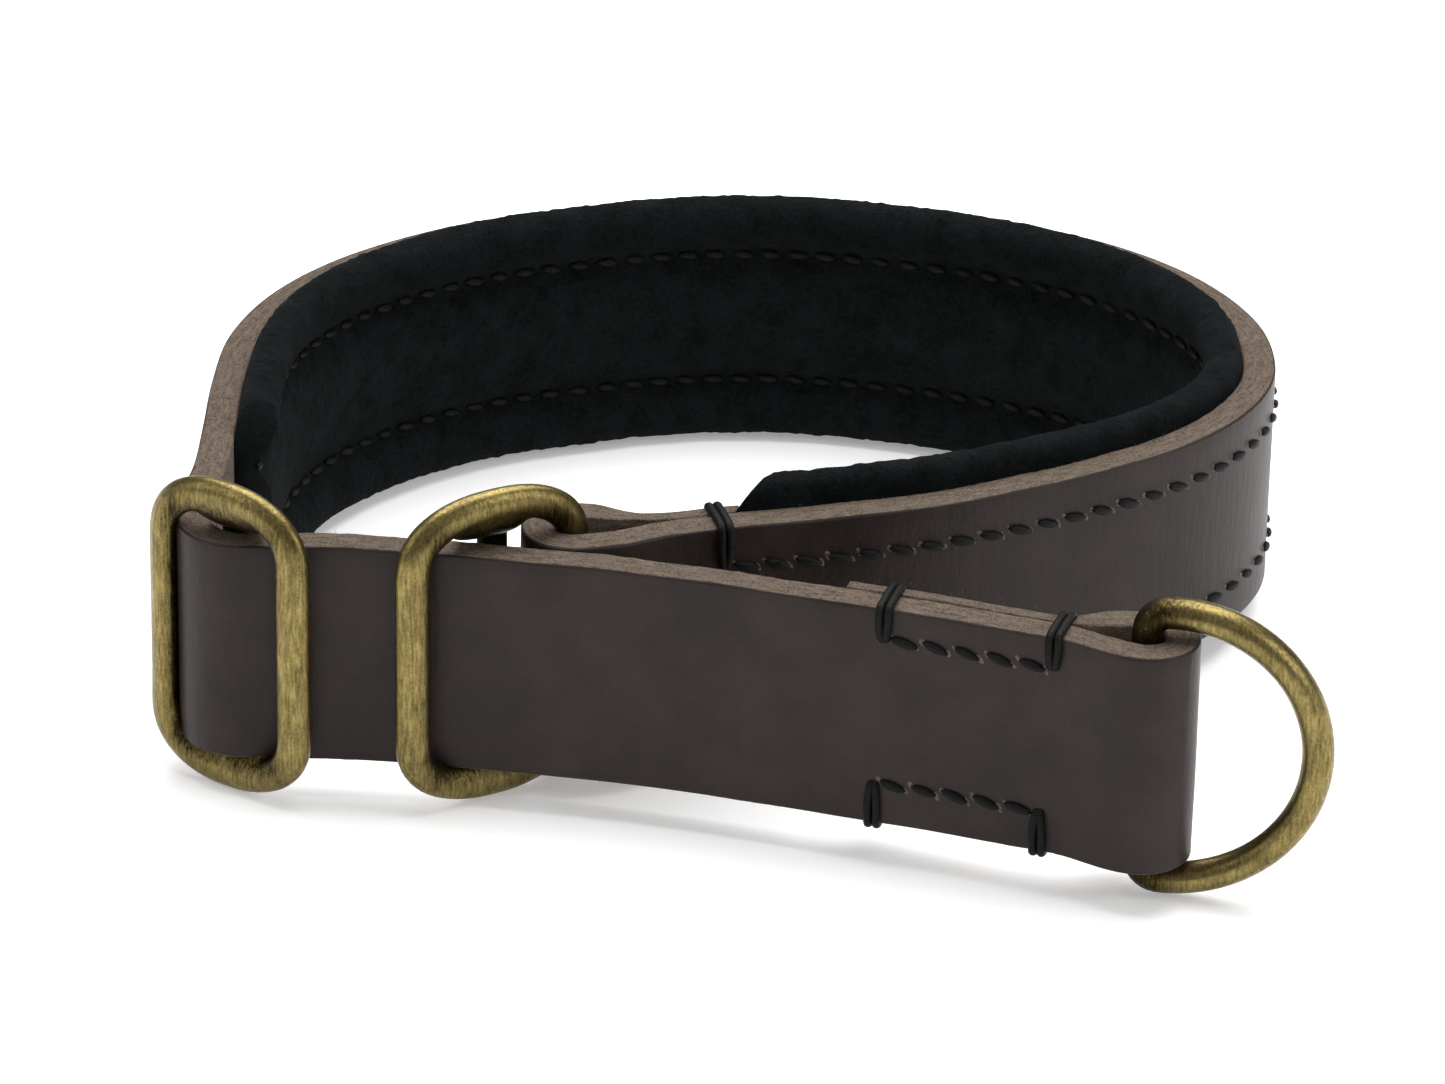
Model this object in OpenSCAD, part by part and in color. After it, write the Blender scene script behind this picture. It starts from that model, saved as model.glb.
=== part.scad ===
// Limited-slip training collar: one long leather strap runs from a leash ring, through a slip
// slider and a stop slider, round the neck as a padded band, and back to the slip slider.
// All pieces are drawn level, with z = 0 at the middle of the strap, then stood on the ground.

/* [Strap] */
// Width of the leather strap
strap_w = 25; // [23:0.5:25.2]
// Thickness of the leather
strap_t = 3.6; // [3.2:0.1:3.6]
// Glue gap between two stitched layers
layer_gap = 0.15; // [0.1:0.05:0.3]
// Length of the return layer behind the leash ring
ring_return = 32.4; // [24:0.2:33]

/* [Padding] */
// Height of the padded lining, rolled edges included
lining_h = 30; // [29:0.2:31.6]
// Depth of the padding inside the strap
lining_d = 4.6; // [3.5:0.1:5]
// Thickness of the suede
suede_t = 1.2; // [0.8:0.1:1.4]

/* [Thread] */
// Diameter of the waxed thread
thread_d = 0.9; // [0.6:0.1:1.1]
// Distance from one stitch to the next
stitch_pitch = 3.4; // [3:0.1:5]
// Height of a seam above the middle of the strap
seam_z = 7.9; // [6:0.1:9]

/* [Hardware] */
// Overall height of both sliders
slider_h = 36; // [35:0.5:40]
// Bar diameter of the slider frames
frame_d = 3.8; // [3:0.1:3.8]
// Diameter of the middle bar of a slider
middle_d = 3.2; // [2.4:0.1:3.2]
// Height of the sliders' middle above the strap's
slider_rise = 1; // [0:0.1:1]
// Wire diameter of the leash ring
ring_d = 3.5; // [3:0.1:3.6]
// Outer height of the leash ring
ring_h = 34.2; // [33.4:0.1:34.6]

/* [Fit] */
// Room between metal and leather that only touch
touch_gap = 0.2; // [0.15:0.05:0.25]
// Width of the cut where the two halves of the band flex
flex_cut = 1.6; // [1.4:0.1:2]

/* [Hidden] */

leather = "#4a3f3b";
suede = "#14181a";
foam = "#3a3a3a";
thread = "#1a1a1a";
brass = "#8f7d3c";

// Middle line of the strap: pull strap from the leash ring leftwards, corner, left side, back.
PULL = [[41.9, -53.4], [35, -51.3], [28.2, -49.1], [20.5, -46.4], [13, -44.2], [6, -42], [-0.7, -40],
        [-7, -38.4], [-13.5, -37], [-19.5, -35.9], [-25.5, -34.9], [-33, -33.8], [-40.6, -33.1],
        [-46.4, -33]];
CORNER_MID = [-51.3, -27.5];
CORNER_R = 5.6;
LEFT = [[-57.1, -21.6], [-56.1, -15], [-55.8, -4.7], [-55.6, 7], [-54.2, 19], [-49.8, 30.3],
        [-41.5, 40.4], [-29.5, 48.7], [-13, 54.8]];
RIGHT = [[-13, 54.8], [-4.2, 56.5], [7, 56.8], [18.8, 54.8], [31, 51.1], [42.3, 45], [51, 36.4],
         [56.3, 26], [57.6, 15.4], [55.8, 7], [50.8, -1.2], [43, -8.4], [32.7, -14.7],
         [22.1, -19.9], [10.2, -23.9], [-0.8, -26.5], [-7, -28.6], [-12.2, -31.3]];
LOOP_BACK = [[-12.6, -24.9], [-7.4, -24.5], [-2.8, -23.2], [0.2, -22.45]];

// Plan places of the outer bars of the sliders.
SLIP_BARS = [[-33.6, -38.2], [-16.9, -28.4]];
STOP_BARS = [[-60.8, -28.2], [-46, -37.4]];
// Middle bars, set back behind the frame and sideways from its middle.
SLIP_MIDDLE = [-0.6, 3.5];
STOP_MIDDLE = [-0.5, 4];

// Stretches along the left and right halves of the route.
flex_gap = flex_cut / 2;
layer_pitch = (strap_t + layer_gap) / 2;
ring_turn = ring_d / 2 + touch_gap + strap_t / 2;
bulge_len = 9;
loop_turn = frame_d / 2 + touch_gap + strap_t / 2;

// The standing collar leans back by this much, and is moved onto its base centre.
lean = 1.25;
seat = [0.32, -0.98, 16.345];

function ease(x) = let (k = min(max(x, 0), 1)) k * k * (3 - 2 * k);
function curve_point(a, b, c, d, k) =
    (2 * b + (c - a) * k + (2 * a - 5 * b + 4 * c - d) * k * k
     + (3 * b - a - 3 * c + d) * k * k * k) / 2;
// Smooth curve through the points, with n steps to each stretch.
function curve(p, n) = let (last = len(p) - 1)
    [for (i = [0:last - 1], j = [0:n - 1])
        curve_point(i == 0 ? 2 * p[0] - p[1] : p[i - 1], p[i], p[i + 1],
                    i + 1 == last ? 2 * p[last] - p[last - 1] : p[i + 2], j / n),
     p[last]];
function arc(mid, r, from, to, n) =
    [for (i = [0:n]) let (a = from + (to - from) * i / n) mid + r * [cos(a), sin(a)]];
function backwards(p) = [for (i = [len(p) - 1:-1:0]) p[i]];
function heading(p, i) = let (d = p[min(i + 1, len(p) - 1)] - p[max(i - 1, 0)]) d / norm(d);
function outward(p, i) = let (d = heading(p, i)) [-d.y, d.x];
function shifted(p, off) = [for (i = [0:len(p) - 1]) p[i] + off * outward(p, i)];
// Length of the line up to each of its points.
function run(p) = [for (i = 0, s = 0; i < len(p); i = i + 1,
                        s = s + (i < len(p) ? norm(p[i] - p[i - 1]) : 0)) s];
// Stretch of a line between two lengths, cut exactly at both.
function between(p, from, to) = let (s = run(p))
    concat([at(p, from)],
           [for (i = [0:len(p) - 1]) if (s[i] > from + 0.3 && s[i] < to - 0.3) p[i]],
           [at(p, to)]);
// Point and direction at one length along a line.
function at(p, s) = let (r = run(p), n = len(p) - 1)
    [lookup(s, [for (i = [0:n]) [r[i], p[i].x]]), lookup(s, [for (i = [0:n]) [r[i], p[i].y]])];
function angle_at(p, s) = let (d = at(p, s + 0.5) - at(p, s - 0.5)) atan2(d.y, d.x);
function total(p) = let (r = run(p)) r[len(r) - 1];

pull_line = curve(PULL, 3);
left_line = concat(pull_line, arc(CORNER_MID, CORNER_R, 262, 186, 9), curve(LEFT, 4));
right_line = curve(RIGHT, 4);

// Leash ring: its straight bar lies in the fold, between the two layers.
ring_bar = at(pull_line, 0) - layer_pitch * outward(pull_line, 0);
ring_turn_angle = atan2(outward(pull_line, 0).y, outward(pull_line, 0).x);
function spread(s) = layer_pitch + (ring_turn - layer_pitch) * ease(1 - s / bulge_len);
function ring_layer(side, last) = let (line = between(left_line, 0, last), s = run(line))
    [for (i = [0:len(line) - 1])
        line[i] + (side * spread(s[i]) - layer_pitch) * outward(line, i)];
left_path = concat(backwards(ring_layer(-1, ring_return)),
                   arc(ring_bar, ring_turn, ring_turn_angle + 170, ring_turn_angle + 10, 12),
                   ring_layer(1, total(left_line) - flex_gap));

// Loop of the band's free end round the slip slider's right bar.
loop_path = concat(between(right_line, flex_gap, total(right_line)),
                   arc(SLIP_BARS[1], loop_turn, 282, 95, 14), curve(LOOP_BACK, 3));

// Where the padding starts on the left, and where padding and seams end on the right.
left_end = total(left_line) - flex_gap;
pad_start = total(left_line) - 85;
pad_end = total(right_line) - 15.4;
loop_lashing_at = total(right_line) - 11.2;
left_pad_line = between(left_line, pad_start, left_end);
right_pad_line = between(right_line, flex_gap, pad_end);

module stand() {
    translate(seat) rotate([-lean, 0, 0]) children();
}

// Wall along a line, from one offset to another, and from one height to another.
module wall(p, inner, outer, low, high) {
    translate([0, 0, low]) linear_extrude(high - low)
        polygon(concat(shifted(p, inner), backwards(shifted(p, outer))));
}

// Round rod from one point to another.
module rod(a, b, d) {
    v = b - a;
    translate(a) rotate([0, acos(v.z / norm(v)), atan2(v.y, v.x)])
        cylinder(h = norm(v), d = d, $fn = 24);
}

module strap(path) {
    color(leather) stand() wall(path, -strap_t / 2, strap_t / 2, -strap_w / 2, strap_w / 2);
}

// Suede channel, open towards the strap, with the rolled edges above and below it.
module lining(line) {
    near = -strap_t / 2 - touch_gap;
    far = -strap_t / 2 - lining_d;
    hollow_h = lining_h / 2 - suede_t;
    color(suede) stand() difference() {
        wall(line, far, near, -lining_h / 2, lining_h / 2);
        wall(line, far + suede_t, near + suede_t, -hollow_h, hollow_h);
    }
}

module padding(line) {
    near = -strap_t / 2 - touch_gap;
    far = -strap_t / 2 - lining_d + suede_t + touch_gap / 2;
    half = lining_h / 2 - suede_t - touch_gap / 2;
    color(foam) stand() wall(line, far, near, -half, half);
}

// Row of stitches along a line, on a face that lies off it by some distance.
module stitches(line, from, to, height, face, fill = 0.8) {
    count = floor((to - from) / stitch_pitch);
    stitch = stitch_pitch * fill;
    color(thread) stand()
        for (k = [0:count - 1]) {
            s = from + (k + 0.5) * stitch_pitch;
            p = at(line, s);
            a = angle_at(line, s);
            translate([p.x, p.y, height]) rotate([0, 0, a])
                translate([-stitch / 2, face, 0]) rotate([0, 90, 0])
                    cylinder(h = stitch, d = thread_d, $fn = 16);
        }
}

// Seams of the band: a row on the strap's face, and one on the suede where it lies.
suede_face = -strap_t / 2 - lining_d;
module left_seam(height) {
    stitches(left_line, pad_start + 0.6, left_end - 0.4, height, strap_t / 2);
    stitches(left_line, pad_start + 0.6, left_end - 0.4, height, suede_face, 0.6);
}
module right_seam(height) {
    from = flex_gap + 0.4;
    stitches(right_line, from, loop_lashing_at - 0.8, height, strap_t / 2);
    stitches(right_line, from, pad_end - 0.6, height, suede_face, 0.6);
}

// Doubled thread wrapped over one edge of the strap at one place along a line.
module lashing(line, s, outer, inner, side) {
    reach = thread_d * 0.45;
    low = side * seam_z;
    top = side * (strap_w / 2 + thread_d * 0.4);
    color(thread) stand()
        for (step = [-0.5, 0.5]) {
            p = at(line, s + step * thread_d * 1.1);
            a = angle_at(line, s);
            translate([p.x, p.y, 0]) rotate([0, 0, a]) {
                rod([0, outer + reach, low], [0, outer + reach, top], thread_d);
                rod([0, inner - reach, low], [0, inner - reach, top], thread_d);
                rod([0, outer + reach, top], [0, inner - reach, top], thread_d);
            }
        }
}

// Stitch block at the leash ring: two lashings with a row of stitches between them.
ring_near = 9.8;
ring_far = 27.2;
module ring_lashing(side) {
    face = strap_t / 2;
    back = -strap_t * 1.5 - layer_gap;
    lashing(left_line, ring_near, face, back, side);
    lashing(left_line, ring_far, face, back, side);
    for (layer = [face, back])
        stitches(left_line, ring_near, ring_far, side * seam_z, layer);
}

// Lashing that closes the loop round the slip slider's bar.
module loop_lashing(side) {
    lashing(right_line, loop_lashing_at, strap_t / 2, -strap_t * 1.5 - layer_gap, side);
}

// Quarter of a round bar bend.
module bend(r, d, from) {
    rotate([90, 0, 0]) rotate([0, 0, from])
        rotate_extrude(angle = 90, $fn = 48) translate([r, 0]) circle(d = d, $fn = 24);
}

// Slider: a round-bar frame, a middle bar set back from it, and a web at each end.
module slider(bars, middle) {
    span = bars[1] - bars[0];
    half = norm(span) / 2;
    top = (slider_h - frame_d) / 2;
    corner = 3.2;
    bar_end = slider_h / 2 - frame_d / 2 - middle_d * 0.25;
    web_d = middle_d * 0.85;
    centre = (bars[0] + bars[1]) / 2;
    color(brass) stand() translate([centre.x, centre.y, slider_rise])
    rotate([0, 0, atan2(span.y, span.x)]) {
        for (side = [-1, 1]) {
            rod([side * half, 0, corner - top], [side * half, 0, top - corner], frame_d);
            rod([corner - half, 0, side * top], [half - corner, 0, side * top], frame_d);
        }
        translate([half - corner, 0, top - corner]) bend(corner, frame_d, 0);
        translate([corner - half, 0, top - corner]) bend(corner, frame_d, 90);
        translate([corner - half, 0, corner - top]) bend(corner, frame_d, 180);
        translate([half - corner, 0, corner - top]) bend(corner, frame_d, 270);
        rod([middle.x, middle.y, -bar_end], [middle.x, middle.y, bar_end], middle_d);
        for (side = [-1, 1])
            hull() {
                for (x = [-3.1, 3.1])
                    translate([x, 0, side * top]) sphere(d = web_d, $fn = 20);
                translate([middle.x, middle.y, side * (bar_end - 0.6)]) sphere(d = web_d, $fn = 20);
            }
    }
}

module ring() {
    reach = (ring_h - ring_d) / 2;
    corner = 2.3;
    bow = 2.7;
    ring_angle = -7.7;
    color(brass) stand() translate([ring_bar.x, ring_bar.y, 0]) rotate([0, 0, ring_angle]) {
        rod([0, 0, corner - reach], [0, 0, reach - corner], ring_d);
        translate([corner, 0, reach - corner]) bend(corner, ring_d, 90);
        translate([corner, 0, corner - reach]) bend(corner, ring_d, 180);
        for (side = [-1, 1])
            rod([corner, 0, side * reach], [bow, 0, side * reach], ring_d);
        translate([bow, 0, 0]) {
            bend(reach, ring_d, 0);
            bend(reach, ring_d, 270);
        }
    }
}

module outer_strap_left() strap(left_path);
module outer_strap_right() strap(loop_path);
module lining_left() lining(left_pad_line);
module lining_right() lining(right_pad_line);
module padding_left() padding(left_pad_line);
module padding_right() padding(right_pad_line);

module upper_seam_left() left_seam(seam_z);
module lower_seam_left() left_seam(-seam_z);
module upper_seam_right() right_seam(seam_z);
module lower_seam_right() right_seam(-seam_z);
module ring_lashing_upper() ring_lashing(1);
module ring_lashing_lower() ring_lashing(-1);
module loop_lashing_upper() loop_lashing(1);
module loop_lashing_lower() loop_lashing(-1);
module slip_slider() slider(SLIP_BARS, SLIP_MIDDLE);
module stop_slider() slider(STOP_BARS, STOP_MIDDLE);
module d_ring() ring();

outer_strap_left();
outer_strap_right();
lining_left();
lining_right();
padding_left();
padding_right();
upper_seam_left();
upper_seam_right();
lower_seam_left();
lower_seam_right();
ring_lashing_upper();
ring_lashing_lower();
loop_lashing_upper();
loop_lashing_lower();
slip_slider();
stop_slider();
d_ring();
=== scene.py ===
"""Limited-slip training collar: greased leather strap, suede-lined padding and antique brass.

Lengths are in millimetres on a level drawing plane with z = 0 at the middle of the strap.
``stand`` sets a finished mesh down on its lower edges, in metres, where the frame has it.
"""

from __future__ import annotations

import logging
import math
import random
from collections.abc import Callable, Sequence
from dataclasses import dataclass, field
from enum import Enum

import bmesh
import bpy
import numpy as np
from mathutils import Matrix, Quaternion, Vector, noise


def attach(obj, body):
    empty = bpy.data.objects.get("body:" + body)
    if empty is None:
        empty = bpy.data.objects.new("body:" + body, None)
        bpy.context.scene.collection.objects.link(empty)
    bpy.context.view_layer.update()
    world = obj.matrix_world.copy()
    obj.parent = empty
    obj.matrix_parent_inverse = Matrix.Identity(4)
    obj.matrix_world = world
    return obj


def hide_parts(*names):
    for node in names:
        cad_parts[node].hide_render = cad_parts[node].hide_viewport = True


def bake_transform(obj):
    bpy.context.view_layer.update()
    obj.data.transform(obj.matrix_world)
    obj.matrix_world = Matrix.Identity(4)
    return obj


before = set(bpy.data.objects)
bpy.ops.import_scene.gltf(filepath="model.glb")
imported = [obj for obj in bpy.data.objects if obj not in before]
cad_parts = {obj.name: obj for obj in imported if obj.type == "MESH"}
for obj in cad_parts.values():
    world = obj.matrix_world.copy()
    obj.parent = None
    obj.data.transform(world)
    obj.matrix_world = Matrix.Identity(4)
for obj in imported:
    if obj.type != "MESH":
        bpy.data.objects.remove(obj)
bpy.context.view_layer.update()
LOG = logging.getLogger("collar")

MM = 0.001
LEAN = 1.25
SEAT = Vector((0.32, -0.98, 16.345))
STAND = (
    Matrix.Scale(MM, 4)
    @ Matrix.Translation(SEAT)
    @ Matrix.Rotation(math.radians(-LEAN), 4, "X")
)

# Plan of the strap's middle line: pull strap, left side and back, then right side and front.
PULL = [(41.9, -53.4), (35, -51.3), (28.2, -49.1), (20.5, -46.4), (13, -44.2), (6, -42),
        (-0.7, -40), (-7, -38.4), (-13.5, -37), (-19.5, -35.9), (-25.5, -34.9), (-33, -33.8),
        (-40.6, -33.1), (-46.4, -33)]
CORNER_MID, CORNER_R = (-51.5, -27.5), 5.6
LEFT = [(-57.1, -21.6), (-56.1, -15), (-55.8, -4.7), (-55.6, 7), (-54.2, 19), (-49.8, 30.3),
        (-41.5, 40.4), (-29.5, 48.7), (-13, 54.8)]
RIGHT = [(-13, 54.8), (-4.2, 56.5), (7, 56.8), (18.8, 54.8), (31, 51.1), (42.3, 45),
         (51, 36.4), (56.3, 26), (57.6, 15.4), (55.8, 7), (50.8, -1.2), (43, -8.4),
         (32.7, -14.7), (22.1, -19.9), (10.2, -23.9), (-0.8, -26.5), (-7, -28.6), (-12.2, -31.3)]
LOOP_BACK = [(-12.6, -24.9), (-7.4, -24.5), (-2.8, -23.2), (0.2, -22.45)]
SLIP_BARS = ((-33.5, -38.2), (-16.9, -28.4))
STOP_BARS = ((-60.2, -28.1), (-46, -37.4))
# Middle bars of the sliders, moved along the slider and set back from its frame.
SLIP_MIDDLE, STOP_MIDDLE = (1.6, 3.3), (-1.7, 4.0)
SLIDER_RISE = 1.0

STRAP_W, STRAP_T = 25.0, 3.6
HALF_W, HALF_T = STRAP_W / 2, STRAP_T / 2
LAYER_GAP, TOUCH_GAP = 0.15, 0.2
LAYER_PITCH = (STRAP_T + LAYER_GAP) / 2
RING_D = 3.5
SLIDER_BAR_W = 3.8
RING_TURN = RING_D / 2 + TOUCH_GAP + HALF_T
LOOP_TURN = SLIDER_BAR_W / 2 + TOUCH_GAP + HALF_T
BULGE_LEN = 9.0
RING_RETURN = 32.4
# How far the ends of the return layers are skived, how far the skive takes to fade, and the
# thickness that it leaves.
RING_SKIVE, LOOP_SKIVE, SKIVE_FADE = RING_RETURN - 4, 16.0, 6.0
SKIVED_T = 1.5
SEAM_Z = 7.9
SEAM_GROOVE = 2.15
STITCH_PITCH = 3.4
THREAD_D = 0.92
SPLIT_AT = 112.0


def smooth_step(value: float) -> float:
    """Returns value clamped to 0..1 and eased at both ends."""
    k = min(max(value, 0.0), 1.0)
    return k * k * (3 - 2 * k)


def linear(hex_colour: str) -> tuple[float, float, float, float]:
    """Turns an sRGB hex colour to linear light.

    Args:
        hex_colour: six hex digits after a hash.

    Returns:
        Red, green, blue and a full alpha.
    """
    parts = [int(hex_colour[i:i + 2], 16) / 255 for i in (1, 3, 5)]
    red, green, blue = (c / 12.92 if c <= 0.04045 else ((c + 0.055) / 1.055) ** 2.4 for c in parts)
    return red, green, blue, 1.0


# ---------------------------------------------------------------------------- plan lines


def through(points: Sequence[tuple[float, float]], steps: int) -> np.ndarray:
    """Catmull-Rom curve through the points.

    Args:
        points: plan points.
        steps: steps to each stretch.

    Returns:
        One row of x, y for each step.
    """
    p = np.array(points, float)
    p = np.vstack([2 * p[0] - p[1], p, 2 * p[-1] - p[-2]])
    rows = []
    for a, b, c, d in zip(p, p[1:], p[2:], p[3:]):
        for k in np.linspace(0, 1, steps, endpoint=False):
            rows.append((2 * b + (c - a) * k + (2 * a - 5 * b + 4 * c - d) * k * k
                         + (3 * b - a - 3 * c + d) * k ** 3) / 2)
    return np.array(rows + [p[-2]])


def arc(mid: Sequence[float], radius: float, start: float, end: float, count: int) -> np.ndarray:
    """Returns points of an arc about mid, from one angle in degrees to another."""
    angles = np.radians(np.linspace(start, end, count))
    return np.array(mid) + radius * np.column_stack([np.cos(angles), np.sin(angles)])


@dataclass
class Route:
    """A plan line with places looked up by length along it.

    Args:
        points: rows of x, y.
        soften: how far, in mm, its corners are eased.
        step: spacing of the resampled line.
    """

    points: np.ndarray
    soften: float = 0.7
    step: float = 0.2

    def __post_init__(self) -> None:
        """Resamples the line evenly, eases it and stores its directions."""
        raw = self.points
        gaps = np.linalg.norm(np.diff(raw, axis=0), axis=1)
        keep = np.concatenate([[True], gaps > 1e-4])
        raw = raw[keep]
        run = np.concatenate([[0], np.cumsum(np.linalg.norm(np.diff(raw, axis=0), axis=1))])
        even = np.linspace(0, run[-1], max(8, round(run[-1] / self.step)))
        line = np.column_stack([np.interp(even, run, raw[:, i]) for i in (0, 1)])
        reach = max(1, round(self.soften / self.step))
        kernel = np.exp(-0.5 * (np.arange(-3 * reach, 3 * reach + 1) / reach) ** 2)
        kernel /= kernel.sum()
        pad = 3 * reach
        lead = 2 * line[0] - line[pad:0:-1]
        tail = 2 * line[-1] - line[-2:-pad - 2:-1]
        padded = np.vstack([lead, line, tail])
        self.line = np.column_stack([np.convolve(padded[:, i], kernel, "valid") for i in (0, 1)])
        self.run = np.concatenate(
            [[0], np.cumsum(np.linalg.norm(np.diff(self.line, axis=0), axis=1))])
        slope = np.gradient(self.line, axis=0)
        self.slope = slope / np.linalg.norm(slope, axis=1)[:, None]

    @property
    def total(self) -> float:
        """Length of the whole line."""
        return float(self.run[-1])

    def at(self, s: float) -> Vector:
        """Returns the place at length s, running straight on past both ends."""
        inside = min(max(s, 0.0), self.total)
        x, y = (np.interp(inside, self.run, self.line[:, i]) for i in (0, 1))
        heading = self.heading(inside)
        return Vector((x, y, 0)) + heading * (s - inside)

    def heading(self, s: float) -> Vector:
        """Returns the unit direction of travel at length s."""
        x, y = (np.interp(s, self.run, self.slope[:, i]) for i in (0, 1))
        return Vector((x, y, 0)).normalized()

    def outward(self, s: float) -> Vector:
        """Returns the direction of the strap's grain side at length s."""
        d = self.heading(s)
        return Vector((-d.y, d.x, 0))

    def place(self, s: float, offset: float, height: float) -> Vector:
        """Returns the point at length s, offset outwards and at a height."""
        return self.at(s) + self.outward(s) * offset + Vector((0, 0, height))

    def cut(self, start: float, end: float) -> np.ndarray:
        """Returns the rows of the line between two lengths."""
        inner = self.line[(self.run > start + 0.05) & (self.run < end - 0.05)]
        return np.vstack([self.at(start).xy[:], inner, self.at(end).xy[:]])


LEFT_LINE = Route(np.vstack([through(PULL, 12), arc(CORNER_MID, CORNER_R, 262, 186, 24),
                             through(LEFT, 16)]), soften=0.5)
RIGHT_LINE = Route(through(RIGHT, 16), soften=0.5)
BACK_JOIN = LEFT_LINE.total
PAD_START = BACK_JOIN - 85
PAD_END = RIGHT_LINE.total - 13.4
LOOP_LASHING_AT = RIGHT_LINE.total - 11.7
# Near lashing, far lashing and seam height of the upper and lower stitch rows at the ring.
RING_BLOCK = {1: (8.9, 27.2, 9.0), -1: (9.9, 27.9, 7.8)}


def ring_bar() -> Vector:
    """Returns the plan place of the leash ring's straight bar, inside the sewn fold."""
    return LEFT_LINE.at(0) - LEFT_LINE.outward(0) * LAYER_PITCH


def fold_layer(side: int, last: float) -> np.ndarray:
    """Plan line of one layer beside the leash ring, bulging round its bar.

    Args:
        side: 1 for the front layer, -1 for the return layer behind it.
        last: length at which the layer ends.

    Returns:
        Rows of x, y from the ring onwards.
    """
    rows = []
    for s in np.arange(0, last, 0.4).tolist() + [last]:
        spread = LAYER_PITCH + (RING_TURN - LAYER_PITCH) * smooth_step(1 - s / BULGE_LEN)
        rows.append((LEFT_LINE.at(s) + LEFT_LINE.outward(s) * (side * spread - LAYER_PITCH)).xy[:])
    return np.array(rows)


def pull_route() -> Route:
    """Line of the pull strap: return layer, fold round the ring, then left to the corner."""
    out = LEFT_LINE.outward(0)
    turn = math.degrees(math.atan2(out.y, out.x))
    fold = arc(ring_bar().xy, RING_TURN, turn + 172, turn + 8, 40)
    return Route(np.vstack([fold_layer(-1, RING_RETURN)[::-1], fold, fold_layer(1, SPLIT_AT)]),
                 soften=0.6)


def band_route() -> Route:
    """Line of the band's leather: left side, back, right side and the loop at the slider."""
    loop = np.vstack([RIGHT_LINE.line, arc(SLIP_BARS[1], LOOP_TURN, 282, 95, 48),
                      through(LOOP_BACK, 12)])
    return Route(np.vstack([LEFT_LINE.cut(SPLIT_AT, BACK_JOIN), loop]), soften=0.6)


def skived(away: float, length: float) -> float:
    """Returns the share of the leather's thickness left near a skived end.

    Args:
        away: distance from the end.
        length: how far the skive reaches.

    Returns:
        A share of the full thickness, full beyond the skive.
    """
    return 1 - (1 - SKIVED_T / STRAP_T) * smooth_step((length - away) / SKIVE_FADE)


def padding_route() -> Route:
    """Line of the padded stretch of the band."""
    return Route(np.vstack([LEFT_LINE.cut(PAD_START, BACK_JOIN), RIGHT_LINE.cut(0, PAD_END)]))


# ---------------------------------------------------------------------------- mesh tools


def finish_mesh(bm: bmesh.types.BMesh, name: str, smooth: bool = True) -> bpy.types.Object:
    """Makes an object of a mesh drawn in millimetres, stood where the frame has it.

    Args:
        bm: the mesh; it is freed.
        name: name of the piece.
        smooth: whether its faces are shaded smooth.

    Returns:
        The new object, at the origin.
    """
    bm.transform(STAND)
    for face in bm.faces:
        face.smooth = smooth
    mesh = bpy.data.meshes.new(name)
    bm.to_mesh(mesh)
    bm.free()
    piece = bpy.data.objects.new(name, mesh)
    bpy.context.scene.collection.objects.link(piece)
    return piece


def add_mesh(target: bmesh.types.BMesh, part: bmesh.types.BMesh, place: Matrix) -> None:
    """Adds a copy of part to target at a place."""
    mesh = bpy.data.meshes.new("part")
    part.to_mesh(mesh)
    mesh.transform(place)
    target.from_mesh(mesh)
    bpy.data.meshes.remove(mesh)


def mapped_grid(along: int, around: int, where: Callable[[float, int], Vector],
                closed_along: bool = False,
                uv: Callable[[float, int], tuple[float, float]] | None = None,
                marks: dict[str, Callable[[float, int], float]] | None = None) -> bmesh.types.BMesh:
    """Bends a flat grid into a closed tube of any section.

    Args:
        along: steps along the tube.
        around: steps round its section.
        where: gives a point from a share 0..1 along and a step number round the section.
        closed_along: whether the tube's ends meet.
        uv: gives the UV of such a point, in mm.
        marks: point attributes to store, by name.

    Returns:
        A welded mesh with capped ends and outward faces.
    """
    bm = bmesh.new()
    bmesh.ops.create_grid(bm, x_segments=along, y_segments=around, size=1.0)
    layer = bm.loops.layers.uv.new("UVMap") if uv else None
    layers = {name: bm.verts.layers.float.new(name) for name in marks or {}}
    spots = {v: ((v.co.x + 1) / 2, round((v.co.y + 1) / 2 * around)) for v in bm.verts}
    for face in bm.faces if layer else ():
        for loop in face.loops:
            loop[layer].uv = uv(*spots[loop.vert])
    for vert, (share, step) in spots.items():
        vert.co = where(share, step % around)
        for name, value in (marks or {}).items():
            vert[layers[name]] = value(share, step % around)
    bmesh.ops.remove_doubles(bm, verts=bm.verts, dist=1e-4)
    rims = [e for e in bm.edges if e.is_boundary]
    if rims and not closed_along:
        bmesh.ops.holes_fill(bm, edges=rims, sides=0)
        caps = [f for f in bm.faces if len(f.verts) > 4]
        bmesh.ops.triangulate(bm, faces=caps)
    bmesh.ops.recalc_face_normals(bm, faces=bm.faces)
    return bm


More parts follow.
